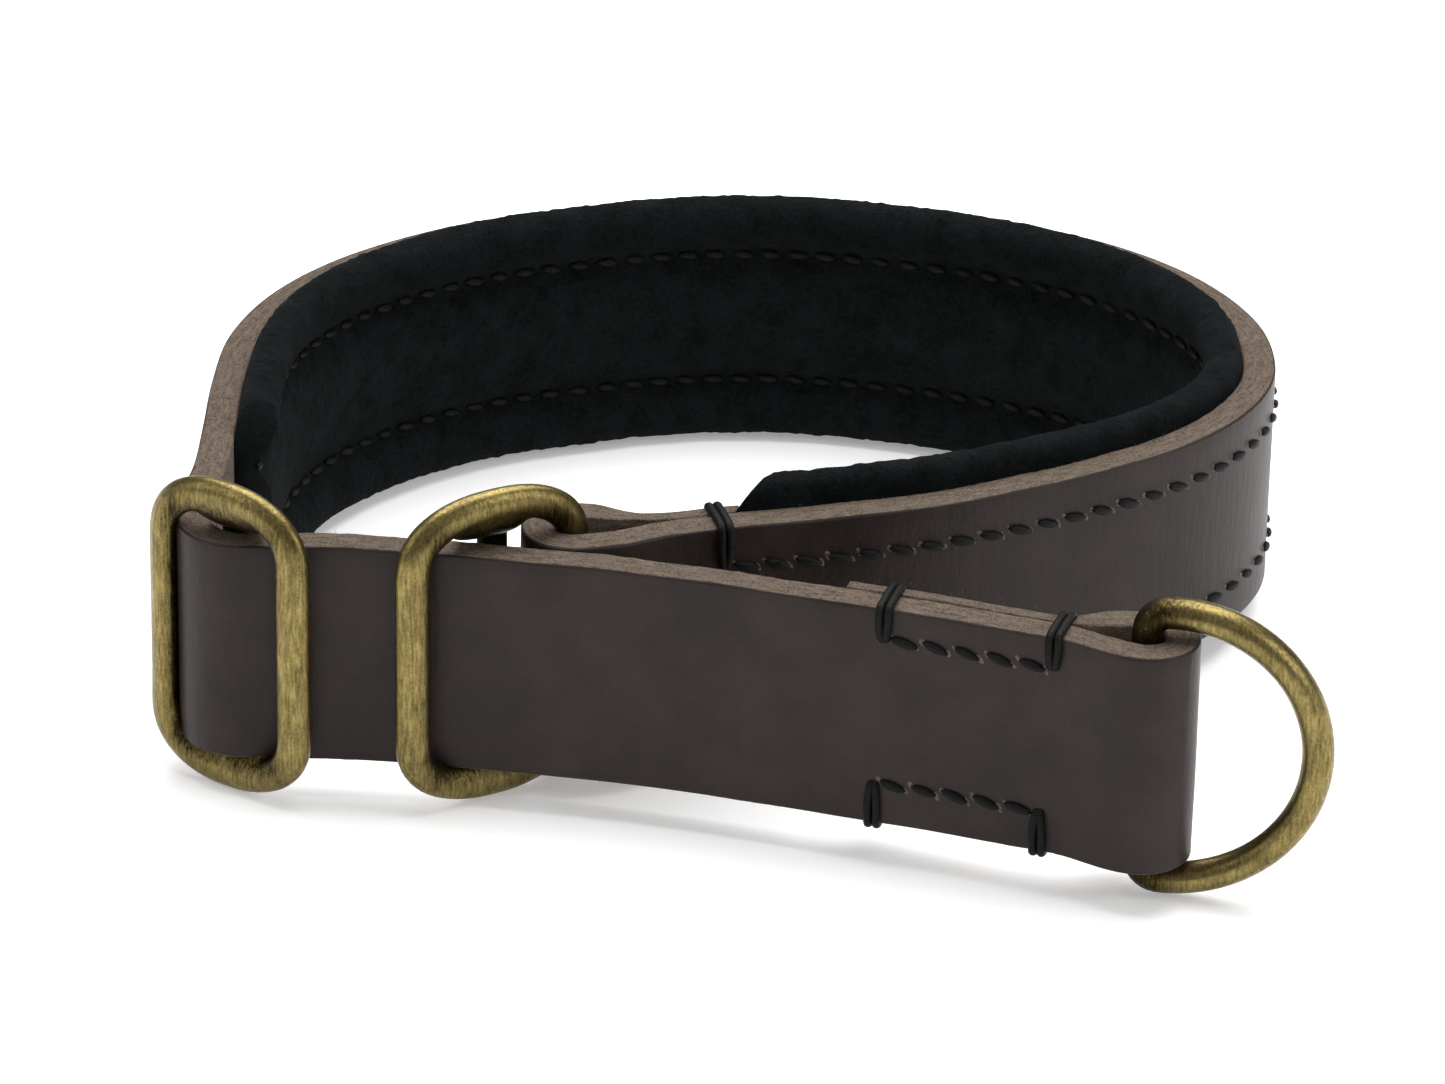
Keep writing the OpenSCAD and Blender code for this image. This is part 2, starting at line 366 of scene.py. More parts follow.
def tube(points: Sequence[Vector], size: Callable[[float], tuple[float, float]],
         across: Callable[[float], Vector], around: int = 16,
         closed: bool = False) -> bmesh.types.BMesh:
    """Tube of oval section along a smooth line.

    Args:
        points: places along its middle, closely spaced.
        size: half width and half depth at a share 0..1 of the way.
        across: rough direction of the half width at that share.
        around: faces round the section.
        closed: whether the line is a ring.

    Returns:
        The tube's mesh.
    """
    line = np.array([p[:] for p in points])
    if closed:
        line = np.vstack([line, line[:1]])
    run = np.concatenate([[0], np.cumsum(np.linalg.norm(np.diff(line, axis=0), axis=1))])
    share_of = run / run[-1]
    slope = np.gradient(line, axis=0)
    if closed:
        slope[0] = slope[-1] = line[1] - line[-2]
    along = len(line) - 1

    def where(share: float, step: int) -> Vector:
        """Returns a point of the tube's skin."""
        i = round(share * along)
        tangent = Vector(slope[i]).normalized()
        wide = across(share_of[i])
        wide = (wide - tangent * wide.dot(tangent)).normalized()
        deep = tangent.cross(wide)
        half_w, half_d = size(share_of[i])
        turn = 2 * math.pi * step / around
        return Vector(line[i]) + wide * (half_w * math.cos(turn)) + deep * (half_d * math.sin(turn))

    return mapped_grid(along, around, where, closed_along=closed)


def rounded(points: Sequence[Vector], radius: float, steps: int = 6) -> list[Vector]:
    """Line through the points with its corners rounded.

    Args:
        points: corners of the line.
        radius: how far before and after each corner the rounding reaches.
        steps: steps to each rounding.

    Returns:
        The smooth line's points.
    """
    line = [points[0]]
    for a, b, c in zip(points, points[1:], points[2:]):
        reach = min(radius, (b - a).length * 0.48, (c - b).length * 0.48)
        start, end = b + (a - b).normalized() * reach, b + (c - b).normalized() * reach
        for k in np.linspace(0, 1, steps):
            line.append(start.lerp(b, k).lerp(b.lerp(end, k), k))
    return line + [points[-1]]


# ---------------------------------------------------------------------------- finishes


class Space(Enum):
    """What a pattern lies on."""

    OBJECT = "Object"
    SURFACE = "UV"


@dataclass
class Shades:
    """Node graph of one material.

    Args:
        name: the material's name.
    """

    name: str

    def __post_init__(self) -> None:
        """Makes the material with its shader and output."""
        self.material = bpy.data.materials.new(self.name)
        self.material.use_nodes = True
        self.tree = self.material.node_tree
        self.tree.nodes.clear()
        self.shader = self.node("ShaderNodeBsdfPrincipled")
        out = self.node("ShaderNodeOutputMaterial")
        self.tree.links.new(self.shader.outputs[0], out.inputs[0])

    def node(self, kind: str, settings: dict[str, object] | None = None,
             **inputs: object) -> bpy.types.Node:
        """Adds a node.

        Args:
            kind: the node's type name.
            settings: values of its properties.
            **inputs: value or output for each socket, named as the socket with _ for spaces,
                or _0, _1 for a socket's number.

        Returns:
            The node.
        """
        made = self.tree.nodes.new(kind)
        for key, value in (settings or {}).items():
            setattr(made, key, value)
        for key, value in inputs.items():
            socket = made.inputs[int(key[1:]) if key[1:].isdigit() else key.replace("_", " ")]
            if isinstance(value, bpy.types.NodeSocket):
                self.tree.links.new(value, socket)
            else:
                socket.default_value = value
        return made

    def coordinates(self, space: Space, scale: tuple[float, float, float]) -> bpy.types.NodeSocket:
        """Returns pattern coordinates in millimetres, multiplied by scale on each axis."""
        source = self.node("ShaderNodeTexCoord").outputs[space.value]
        unit = 1 / MM if space is Space.OBJECT else 1.0
        mapped = self.node("ShaderNodeMapping", Vector=source,
                           Scale=tuple(unit * s for s in scale))
        return mapped.outputs[0]

    def noise(self, size: float, detail: float = 3.0, space: Space = Space.OBJECT,
              stretch: tuple[float, float, float] = (1, 1, 1),
              rough: float = 0.55) -> bpy.types.NodeSocket:
        """Returns noise whose spots are about size mm wide, stretched along the axes."""
        scale = tuple(1 / (size * s) for s in stretch)
        made = self.node("ShaderNodeTexNoise", Vector=self.coordinates(space, scale), Scale=1.0,
                         Detail=detail, Roughness=rough)
        return made.outputs[0]

    def ramp(self, value: bpy.types.NodeSocket,
             stops: Sequence[tuple[float, str]]) -> bpy.types.NodeSocket:
        """Returns the colour of a value by stops of place and hex colour."""
        made = self.node("ShaderNodeValToRGB", Fac=value)
        elements = made.color_ramp.elements
        while len(elements) < len(stops):
            elements.new(0.5)
        for element, (place, colour) in zip(elements, stops):
            element.position = place
            element.color = linear(colour)
        return made.outputs[0]

    def spread(self, value: bpy.types.NodeSocket, low: float, high: float, to_low: float = 0.0,
               to_high: float = 1.0) -> bpy.types.NodeSocket:
        """Returns value moved from one range to another and kept inside it."""
        return self.node("ShaderNodeMapRange", Value=value, From_Min=low, From_Max=high,
                         To_Min=to_low, To_Max=to_high).outputs[0]

    def sum(self, *terms: tuple[bpy.types.NodeSocket, float]) -> bpy.types.NodeSocket:
        """Returns the weighted sum of values."""
        total: object = 0.0
        for value, weight in terms:
            total = self.node("ShaderNodeMath", {"operation": "MULTIPLY_ADD"}, _0=value,
                              _1=weight, _2=total).outputs[0]
        return total

    def mix(self, share: bpy.types.NodeSocket, first: bpy.types.NodeSocket,
            second: bpy.types.NodeSocket) -> bpy.types.NodeSocket:
        """Returns the blend of two colours."""
        return self.node("ShaderNodeMix", {"data_type": "RGBA"}, _0=share, _6=first,
                         _7=second).outputs[2]

    def mark(self, name: str) -> bpy.types.NodeSocket:
        """Returns a point attribute of the piece."""
        return self.node("ShaderNodeAttribute", {"attribute_name": name}).outputs["Fac"]

    def relief(self, height: bpy.types.NodeSocket, depth: float) -> None:
        """Sets a bump whose full height is depth mm."""
        bump = self.node("ShaderNodeBump", Height=height, Distance=depth * MM, Strength=1.0)
        self.tree.links.new(bump.outputs[0], self.shader.inputs["Normal"])

    def colour(self, value: bpy.types.NodeSocket) -> None:
        """Sets the base colour."""
        self.tree.links.new(value, self.shader.inputs["Base Color"])

    def roughness(self, value: bpy.types.NodeSocket) -> None:
        """Sets the roughness from a pattern."""
        self.tree.links.new(value, self.shader.inputs["Roughness"])

    def constants(self, **values: object) -> None:
        """Sets the shader's own sockets, named with _ for spaces."""
        for key, value in values.items():
            self.shader.inputs[key.replace("_", " ")].default_value = value


@dataclass(frozen=True)
class GreasedLeather:
    """Vegetable-tanned strap leather, dyed dark brown and hot-stuffed with grease, cut raw.

    The grain side is smooth with a soft, waxy gloss; cut edges and flesh side stay pale and dry.
    """

    grain_dark: str = "#231c1a"
    grain_light: str = "#312825"
    edge_dark: str = "#43392f"
    edge_light: str = "#857669"
    grain_mm: float = 0.35

    def build(self) -> bpy.types.Material:
        """Returns the material; piece marks raw and flesh say where it is cut or unfinished."""
        s = Shades("greased_strap_leather")
        clouds = s.noise(9.0, 4.0)
        pores = s.noise(self.grain_mm, 3.0)
        creases = s.noise(2.6, 4.0, Space.SURFACE, (0.35, 1.6, 1.0))
        grain = s.ramp(s.sum((clouds, 0.75), (pores, 0.25)),
                       [(0.36, self.grain_dark), (0.66, self.grain_light)])
        layers = s.noise(0.5, 4.0, Space.SURFACE, (4.5, 1.0, 1.0), 0.65)
        fibres = s.noise(0.3, 5.0, rough=0.7)
        fuzz = s.sum((layers, 0.42), (fibres, 0.58))
        pale = s.ramp(fuzz, [(0.36, self.edge_dark), (0.64, self.edge_light)])
        ragged = s.sum((s.mark("raw"), 1.0), (s.noise(0.5, 2.0), 0.3))
        cut = s.spread(ragged, 0.5, 0.72)
        flesh = s.spread(s.mark("flesh"), 0.35, 0.65)
        bare = s.node("ShaderNodeMath", {"operation": "MAXIMUM"}, _0=cut, _1=flesh).outputs[0]
        s.colour(s.mix(bare, grain, pale))
        waxy = s.spread(s.sum((clouds, 0.6), (pores, 0.4)), 0.3, 0.7, 0.36, 0.47)
        s.roughness(s.mix(bare, waxy, s.spread(fibres, 0.2, 0.8, 0.8, 1.0)))
        fine = s.sum((pores, 0.16), (creases, 0.3))
        s.relief(s.mix(bare, fine, s.sum((layers, 1.0), (fibres, 2.2))), 0.2)
        s.constants(IOR=1.47, Specular_IOR_Level=0.19)
        return s.material


@dataclass(frozen=True)
class TornLeather:
    """Leather pushed up round an awl hole: pale, dry and ragged."""

    dark: str = "#362b26"
    light: str = "#75645a"

    def build(self) -> bpy.types.Material:
        """Returns the material."""
        s = Shades("torn_leather_rim")
        fibres = s.noise(0.22, 4.0, rough=0.7)
        s.colour(s.ramp(fibres, [(0.35, self.dark), (0.65, self.light)]))
        s.roughness(s.spread(fibres, 0.2, 0.8, 0.7, 0.95))
        s.relief(fibres, 0.12)
        s.constants(IOR=1.47)
        return s.material


@dataclass(frozen=True)
class BlackSuede:
    """Black split suede: a short nap that drinks light, brushed this way and that."""

    dark: str = "#030404"
    light: str = "#1b2022"
    nap_mm: float = 0.5

    def build(self) -> bpy.types.Material:
        """Returns the material."""
        s = Shades("black_split_suede")
        nap = s.noise(self.nap_mm, 5.0, rough=0.72)
        brushed = s.noise(3.2, 3.0)
        s.colour(s.ramp(s.sum((nap, 0.6), (brushed, 0.4)), [(0.36, self.dark), (0.68, self.light)]))
        s.roughness(s.spread(nap, 0.2, 0.8, 0.86, 1.0))
        s.relief(s.sum((nap, 1.0), (brushed, 0.3)), 0.7)
        s.constants(IOR=1.4, Sheen_Weight=0.05, Sheen_Roughness=0.5,
                    Sheen_Tint=linear("#56656a"), Specular_IOR_Level=0.12)
        return s.material


@dataclass(frozen=True)
class SoftFoam:
    """Closed-cell foam: dull, dark and finely pitted; it shows only where the suede is cut."""

    dark: str = "#16181a"
    light: str = "#25282b"

    def build(self) -> bpy.types.Material:
        """Returns the material."""
        s = Shades("closed_cell_foam")
        cells = s.noise(0.5, 2.0)
        s.colour(s.ramp(cells, [(0.35, self.dark), (0.65, self.light)]))
        s.roughness(s.spread(cells, 0.2, 0.8, 0.85, 1.0))
        s.relief(cells, 0.2)
        return s.material


@dataclass(frozen=True)
class WaxedThread:
    """Braided polyester thread drawn through wax: black with a dull satin gloss."""

    dark: str = "#050505"
    light: str = "#12110f"
    braid_mm: float = 0.3

    def build(self) -> bpy.types.Material:
        """Returns the material."""
        s = Shades("black_waxed_thread")
        braid = s.noise(self.braid_mm, 3.0, stretch=(1.0, 1.0, 0.6))
        s.colour(s.ramp(braid, [(0.35, self.dark), (0.7, self.light)]))
        s.roughness(s.spread(braid, 0.25, 0.75, 0.36, 0.6))
        s.relief(braid, 0.14)
        s.constants(IOR=1.45, Specular_IOR_Level=0.16)
        return s.material


@dataclass(frozen=True)
class AntiqueBrass:
    """Cast brass, darkened and tumbled: worn bright on the bars, brown in the hollows.

    Tumbling leaves fine lengthwise scuffs and small pits, and the patina stays in the recesses.
    """

    brown: str = "#2f2715"
    olive: str = "#6f623c"
    bright: str = "#9f8f59"

    def build(self) -> bpy.types.Material:
        """Returns the material; piece mark hollow says where the patina stays."""
        s = Shades("antique_brass")
        patches = s.noise(3.2, 4.0)
        scuffs = s.noise(0.3, 3.0, stretch=(1.0, 1.0, 7.0))
        pits = s.noise(0.26, 2.0)
        worn = s.sum((patches, 0.3), (scuffs, 0.5), (pits, 0.24), (s.mark("hollow"), -0.34))
        s.colour(s.ramp(worn, [(0.28, self.brown), (0.5, self.olive), (0.74, self.bright)]))
        s.roughness(s.spread(worn, 0.25, 0.75, 0.46, 0.27))
        s.relief(s.sum((scuffs, 0.5), (pits, 0.4), (patches, 0.6)), 0.05)
        s.constants(Metallic=1.0)
        return s.material


@dataclass(frozen=True)
class StudioWhite:
    """Matt white paper sweep, glowing a little like a lit table."""

    tone: str = "#f4f4f4"

    def build(self) -> bpy.types.Material:
        """Returns the material."""
        s = Shades("matt_white_paper")
        pulp = s.noise(40.0, 2.0)
        s.colour(s.ramp(pulp, [(0.0, self.tone), (1.0, "#f7f7f7")]))
        s.constants(Roughness=0.9, Specular_IOR_Level=0.1, Emission_Strength=0.27,
                    Emission_Color=(1.0, 1.0, 1.0, 1.0))
        return s.material


@dataclass
class Finishes:
    """Every finish of the collar, built once."""

    leather: bpy.types.Material = field(default_factory=lambda: GreasedLeather().build())
    torn: bpy.types.Material = field(default_factory=lambda: TornLeather().build())
    suede: bpy.types.Material = field(default_factory=lambda: BlackSuede().build())
    foam: bpy.types.Material = field(default_factory=lambda: SoftFoam().build())
    thread: bpy.types.Material = field(default_factory=lambda: WaxedThread().build())
    brass: bpy.types.Material = field(default_factory=lambda: AntiqueBrass().build())


# ---------------------------------------------------------------------------- pieces


class Rider(Enum):
    """Bodies that the pieces move with."""

    PULL = "pull_side"
    FREE = "free_side"
    SLIP = "slip_slider"
    STOP = "stop_slider"
    RING = "leash_ring"
    BAND = "band"


def settle(piece: bpy.types.Object, rider: Rider, material: bpy.types.Material,
           stands_for: Sequence[str] = ()) -> bpy.types.Object:
    """Dresses a piece, binds it to its body or leaves it with the band, and hides the CAD nodes it
    stands for.

    Args:
        piece: the finished piece.
        rider: the body it moves with, or the band, whose pieces get no body.
        material: its finish.
        stands_for: CAD nodes that it replaces.

    Returns:
        The same piece.
    """
    piece.data.materials.clear()
    piece.data.materials.append(material)
    if rider is Rider.BAND:
        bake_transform(piece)
    else:
        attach(piece, rider.value)
    if stands_for:
        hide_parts(*stands_for)
    LOG.info("%s: %d faces, moves with %s", piece.name, len(piece.data.polygons), rider.value)
    return piece


@dataclass(frozen=True)
class SectionPoint:
    """One point of the strap's section: offset outwards, height, and what the surface is."""

    offset: float
    height: float
    raw: float
    flesh: float


@dataclass
class LeatherStrap:
    """The outer strap, as its pull strap and its band, with raw cut edges.

    Args:
        finishes: the collar's materials.
        grain_round: rounding of the edge on the grain side.
        flesh_round: rounding on the flesh side.
        edge_wander: how far the cut edge wanders.
        fibre_relief: height of the fine unevenness on the cut edge.
        face_swell: how far the grain side swells and sinks.
        step: length of one step of the mesh.
        face_steps: points across each face.
        edge_steps: points across each cut edge.
    """

    finishes: Finishes
    grain_round: float = 0.3
    flesh_round: float = 0.3
    edge_wander: float = 0.16
    fibre_relief: float = 0.09
    face_swell: float = 0.07
    step: float = 0.7
    face_steps: int = 14
    edge_steps: int = 8

    def section(self) -> list[SectionPoint]:
        """Returns the points round the strap's section."""
        z_face = HALF_W - self.grain_round
        ring = [SectionPoint(HALF_T, float(k), 0, 0)
                for k in np.linspace(-z_face, z_face, self.face_steps)]
        self._corner(ring, 1, self.grain_round, True)
        for k in np.linspace(HALF_T - self.grain_round, self.flesh_round - HALF_T, self.edge_steps):
            ring.append(SectionPoint(float(k), HALF_W, 1, 0))
        self._corner(ring, 1, self.flesh_round, False)
        z_face = HALF_W - self.flesh_round
        for k in np.linspace(z_face, -z_face, self.face_steps):
            ring.append(SectionPoint(-HALF_T, float(k), 0.6 if abs(k) == z_face else 0, 1))
        self._corner(ring, -1, self.flesh_round, False)
        for k in np.linspace(self.flesh_round - HALF_T, HALF_T - self.grain_round, self.edge_steps):
            ring.append(SectionPoint(float(k), -HALF_W, 1, 0))
        self._corner(ring, -1, self.grain_round, True, 1.0)
        return ring

    @staticmethod
    def _corner(ring: list[SectionPoint], side: int, radius: float, grain: bool,
                bare: float = 0.35) -> None:
        """Adds the points that round one corner, going round with the section.

        Args:
            ring: the section's points so far.
            side: 1 for an upper corner, -1 for a lower one.
            radius: the corner's rounding.
            grain: whether the corner is on the grain side.
            bare: how raw the rounding is on the grain side.
        """
        toward_edge = grain == (side == 1)
        for k in (0.3, 0.7):
            turn = math.radians(90 * (k if toward_edge else 1 - k))
            away = radius * (1 - math.cos(turn))
            rise = radius * (1 - math.sin(turn))
            offset = HALF_T - away if grain else away - HALF_T
            ring.append(SectionPoint(offset, side * (HALF_W - rise),
                                     bare * math.sin(turn) if grain else 1.0, 0))

    def sweep(self, route: Route, name: str,
              thinning: Callable[[float], float]) -> bpy.types.Object:
        """Sweeps the section along a route.

        Args:
            route: the strap's middle line.
            name: the piece's name.
            thinning: share of the full thickness left at a length along the route.

        Returns:
            The strap.
        """
        ring = self.section()
        girth = np.concatenate([[0], np.cumsum([
            math.hypot(b.offset - a.offset, b.height - a.height)
            for a, b in zip(ring, ring[1:] + ring[:1])])])

        def where(share: float, step: int) -> Vector:
            """Returns a point of the strap's skin, with the cut edge's unevenness."""
            point = ring[step]
            s = share * route.total
            centre = route.at(s)
            height = point.height
            if point.raw >= 1:
                side = 1 if height > 0 else -1
                wander = noise.noise(Vector((centre.x * 0.11, centre.y * 0.11, side * 9.0)))
                rough = noise.noise(Vector((s * 0.9, point.offset * 2.6, side * 4.0)))
                height += side * (self.edge_wander * wander + self.fibre_relief * rough)
            swell = noise.noise(Vector((centre.x * 0.09, centre.y * 0.09, height * 0.1)))
            offset = (point.offset + HALF_T) * thinning(s) - HALF_T
            if point.flesh == 0:
                offset += swell * self.face_swell
            return route.place(s, offset, height)

        steps = round(route.total / self.step)
        bm = mapped_grid(steps, len(ring), where,
                         uv=lambda share, step: (share * route.total, float(girth[step])),
                         marks={"raw": lambda _, step: ring[step].raw,
                                "flesh": lambda _, step: ring[step].flesh})
        return finish_mesh(bm, name)

    def build(self) -> None:
        """Builds the pull strap with its fold, and the band with its loop."""
        band = band_route()
        pull = self.sweep(pull_route(), "pull_strap", lambda s: skived(s, RING_SKIVE))
        loop = self.sweep(band, "band_strap", lambda s: skived(band.total - s, LOOP_SKIVE))
        settle(pull, Rider.PULL, self.finishes.leather, ["outer_strap_left"])
        settle(loop, Rider.BAND, self.finishes.leather, ["outer_strap_right"])


@dataclass
class PaddedLining:
    """Suede drawn over a foam core, stitched down along two lines and rolled at both edges.

    Args:
        finishes: the collar's materials.
        profile: heights above the pad's middle, each with the pad's depth there, going out
            over the roll and back behind the strap.
        skive: how far the cut ends slope for each millimetre of depth.
        step: length of one step of the suede's mesh.
        nap: how far the nap ruffles the suede.
        lumps: how far the padding swells and sinks.
        end_zone: how far from each end the slope fades out.
        flare: share by which the pad is taller at its right end.
        flare_reach: how far from that end the flare starts.
        nap_seed: start of the nap's noise, which would otherwise follow the clock.
    """

    finishes: Finishes
    profile: tuple[tuple[float, float], ...] = (
        (0.0, 3.9), (2.2, 3.85), (4.2, 3.65), (5.8, 3.2), (7.0, 2.55), (SEAM_Z, SEAM_GROOVE),
        (8.7, 2.6), (9.6, 3.4), (10.7, 4.0), (11.9, 4.35), (13.0, 4.25), (13.9, 3.8),
        (14.5, 3.1), (14.85, 2.2), (14.8, 1.3), (14.4, 0.6), (13.6, 0.2), (12.0, 0.06),
        (8.0, 0.05), (4.0, 0.05))
    skive: float = 1.0
    step: float = 0.6
    nap: float = 0.16
    lumps: float = 0.14
    end_zone: float = 12.0
    flare: float = 0.055
    flare_reach: float = 80.0
    nap_seed: int = 5

    def ring(self) -> list[tuple[float, float]]:
        """Returns depth and height round the section, finely spaced."""
        upper = [(d, z) for z, d in self.profile]
        lower = [(d, -z) for z, d in self.profile[1:]][::-1]
        corners = upper + [(0.05, 0.0)] + lower
        closed = np.array([[z, d] for d, z in corners + corners[:1]])
        run = np.concatenate([[0], np.cumsum(np.linalg.norm(np.diff(closed, axis=0), axis=1))])
        even = np.linspace(0, run[-1], 101)[:-1]
        return [(float(np.interp(s, run, closed[:, 1])), float(np.interp(s, run, closed[:, 0])))
                for s in even]

    def sweep(self, name: str, shrink: float, step: float) -> bpy.types.Object:
        """Sweeps the pad's section along the band.

        Args:
            name: the piece's name.
            shrink: how much smaller than the suede's outside it is.
            step: length of one step of the mesh.

        Returns:
            The swept piece.
        """
        route = padding_route()
        ring = self.ring()
        zone = self.end_zone

        def where(share: float, step_no: int) -> Vector:
            """Returns a point of the pad's skin."""
            depth, height = ring[step_no]
            s = shrink + share * (route.total - 2 * shrink)
            lost = depth * self.skive + max(0.0, abs(height) - 11.5) * 0.7
            if s < zone:
                s = lost + s * (zone - lost) / zone
            elif s > route.total - zone:
                rest = route.total - s
                s = route.total - lost - rest * (zone - lost) / zone
            depth_in = max(depth - shrink, shrink * 0.6) if shrink else depth
            rise = 1 + self.flare * smooth_step(1 - (route.total - s) / self.flare_reach)
            height_in = height * (1 - shrink / 14.9) * rise
            lump = noise.noise(Vector((s * 0.16, height * 0.25, 3.0))) * self.lumps
            spot = route.place(s, -HALF_T - depth_in - lump * min(1.0, depth / 2), height_in)
            if shrink or depth < 0.4:
                return spot
            ruffle = noise.noise_vector(spot * 0.9) + noise.noise_vector(spot * 2.3) * 0.7
            return spot + ruffle * self.nap

        bm = mapped_grid(round(route.total / step), len(ring), where,
                         uv=lambda share, step_no: (share * route.total, float(step_no)))
        return finish_mesh(bm, name)

    def build(self) -> None:
        """Builds the foam core and the suede over it."""
        noise.seed_set(self.nap_seed)
        core = self.sweep("foam_core", 1.0, 2.0)
        settle(core, Rider.BAND, self.finishes.foam,
               ["padding_left", "padding_right"])
        suede = self.sweep("suede_lining", 0.0, self.step)
        settle(suede, Rider.BAND, self.finishes.suede,
               ["lining_left", "lining_right"])


@dataclass
class Stitching:
    """Saddle stitches in waxed thread, and the leather torn up round their holes.

    Args:
        finishes: the collar's materials.
        slant: how far each stitch climbs along its seam, in degrees.
        seed: start of the small differences between stitches.
    """

    finishes: Finishes
    slant: float = 15.0
    seed: int = 7

    def __post_init__(self) -> None:
        """Makes the master stitch and the master torn rim."""
        self.rng = random.Random(self.seed)
        self.stitch = bmesh.new()
        bmesh.ops.create_uvsphere(self.stitch, u_segments=10, v_segments=8, radius=0.5)
        for vert in self.stitch.verts:
            blunt = abs(vert.co.z * 2) ** 1.6 * (1 if vert.co.z > 0 else -1)
            vert.co.z += (blunt - vert.co.z * 2) * 0.02
            swell = 1 + 0.125 * (1 - (vert.co.z * 2) ** 2)
            vert.co.x *= swell
            vert.co.y *= swell
        self.rim = bmesh.new()
        bmesh.ops.create_uvsphere(self.rim, u_segments=9, v_segments=6, radius=0.5)

    def basis(self, route: Route, s: float, offset: float, height: float, tilt: float,
              outer: bool) -> Matrix:
        """Returns the place and turn of a stitch: z along it and y out of the face."""
        along = route.heading(s)
        out = route.outward(s) * (1 if outer else -1)
        up = Vector((0, 0, 1))
        angle = math.radians(tilt)
        direction = along * math.cos(angle) + up * math.sin(angle)
        side = out.cross(direction)
        turn = Matrix((side, out, direction)).transposed().to_4x4()
        return Matrix.Translation(route.place(s, offset, height)) @ turn

    def row(self, bm: bmesh.types.BMesh, rims: bmesh.types.BMesh | None, route: Route,
            start: float, end: float, height: float, offset: float, outer: bool = True,
            length: float = 2.95) -> None:
        """Adds a row of stitches.

        Args:
            bm: mesh of the thread.
            rims: mesh of the torn rims, or None for none.
            route: the seam's line.
            start: where the row starts along it.
            end: where the row ends.
            height: height of the seam.
            offset: offset of the face that it lies on.
            outer: whether that face looks outwards.
            length: length of a stitch.
        """
        count = round((end - start) / STITCH_PITCH)
        pitch = (end - start) / max(count, 1)
        for k in range(count):
            s = start + (k + 0.5) * pitch
            tilt = (self.slant + self.rng.uniform(-4, 4)) * (1 if outer else -0.6)
            size = self.rng.uniform(0.93, 1.06)
            lift = offset + (0.14 if outer else -0.3)
            place = self.basis(route, s, lift, height, tilt, outer)
            scale = Matrix.Diagonal((THREAD_D * size, THREAD_D * 0.8, length * size, 1))
            add_mesh(bm, self.stitch, place @ scale)
            if rims is None:
                continue
            for end_side in (-1, 1):
                reach = end_side * length * 0.47
                climb = reach * math.sin(math.radians(self.slant)) * 1.25
                hole_z = height + climb - end_side * 0.1
                lie = 55 + self.rng.uniform(-15, 15)
                spot = self.basis(route, s + reach * 0.97, offset - 0.02, hole_z, lie, outer)
                wide, long = self.rng.uniform(0.4, 0.7), self.rng.uniform(0.7, 1.3)
                add_mesh(rims, self.rim, spot @ Matrix.Diagonal((wide, 0.22, long, 1)))

    def wrap(self, bm: bmesh.types.BMesh, route: Route, s: float, inner: float, side: int,
             seam: float = SEAM_Z) -> None:
        """Adds a doubled thread wrapped over one edge of the layers.

        Args:
            bm: mesh of the thread.
            route: the strap's line.
            s: where the thread lies along it.
            inner: offset of the innermost face.
            side: 1 over the upper edge, -1 under the lower edge.
            seam: height of the seam that it starts from.
        """
        bed, outer = THREAD_D * 0.3, HALF_T
        for strand in (-0.5, 0.5):
            lean = strand * THREAD_D * 0.98
            tight = strand * THREAD_D * 0.5
            spots = [(s + tight * 0.4, outer - 0.7, seam - 0.2),
                     (s + tight, outer + bed, seam + 0.2),
                     (s + lean * 1.05, outer + bed + 0.08, (seam + HALF_W) / 2),
                     (s + lean, outer + bed, HALF_W + bed),
                     (s + lean * 0.96, (outer + inner) / 2, HALF_W + bed + 0.12),
                     (s + lean, inner - bed, HALF_W + bed),
                     (s + tight, inner - bed, seam + 0.2),
                     (s + tight * 0.4, inner + 0.7, seam - 0.2)]
            corners = [route.place(a, o, side * h) for a, o, h in spots]
            line = rounded(corners, 0.8, 6)
            part = tube(line, lambda _: (THREAD_D * 0.5, THREAD_D * 0.46),
                        lambda _, r=route, at=s: r.heading(at), 10)
            add_mesh(bm, part, Matrix.Identity(4))
            part.free()

    def publish(self, bm: bmesh.types.BMesh, name: str, rider: Rider,
                stands_for: Sequence[str]) -> None:
        """Makes a piece of thread of a mesh."""
        settle(finish_mesh(bm, name), rider, self.finishes.thread, stands_for)

    def build(self) -> None:
        """Builds the band's seams, the block at the ring and the lashing of the loop."""
        rims_band, rims_pull = bmesh.new(), bmesh.new()
        pad = padding_route()
        leather = Route(np.vstack([LEFT_LINE.cut(PAD_START, BACK_JOIN),
                                   RIGHT_LINE.cut(0, LOOP_LASHING_AT)]))
        groove = -HALF_T - SEAM_GROOVE
        for side, word in ((1, "upper"), (-1, "lower")):
            height = side * SEAM_Z
            seam = bmesh.new()
            self.row(seam, rims_band, leather, 0.8, leather.total - 0.7, height, HALF_T)
            self.row(seam, None, pad, 1.2, pad.total - 3.0, height, groove, outer=False,
                     length=2.3)
            self.publish(seam, f"band_seam_{word}", Rider.BAND,
                         [f"{word}_seam_left", f"{word}_seam_right"])
            block = bmesh.new()
            back = -HALF_T - LAYER_GAP - SKIVED_T
            near, far, block_z = RING_BLOCK[side]
            for at in (near, far):
                self.wrap(block, LEFT_LINE, at, back, side, block_z)
            self.row(block, rims_pull, LEFT_LINE, near + 0.5, far - 0.4, side * block_z, HALF_T,
                     length=3.1)
            self.row(block, None, LEFT_LINE, near + 0.5, far - 0.4, side * block_z, back,
                     outer=False)
            self.publish(block, f"ring_block_thread_{word}", Rider.PULL, [f"ring_lashing_{word}"])
            lash = bmesh.new()
            self.wrap(lash, RIGHT_LINE, LOOP_LASHING_AT, back, side)
            self.publish(lash, f"loop_lashing_thread_{word}", Rider.FREE, [f"loop_lashing_{word}"])
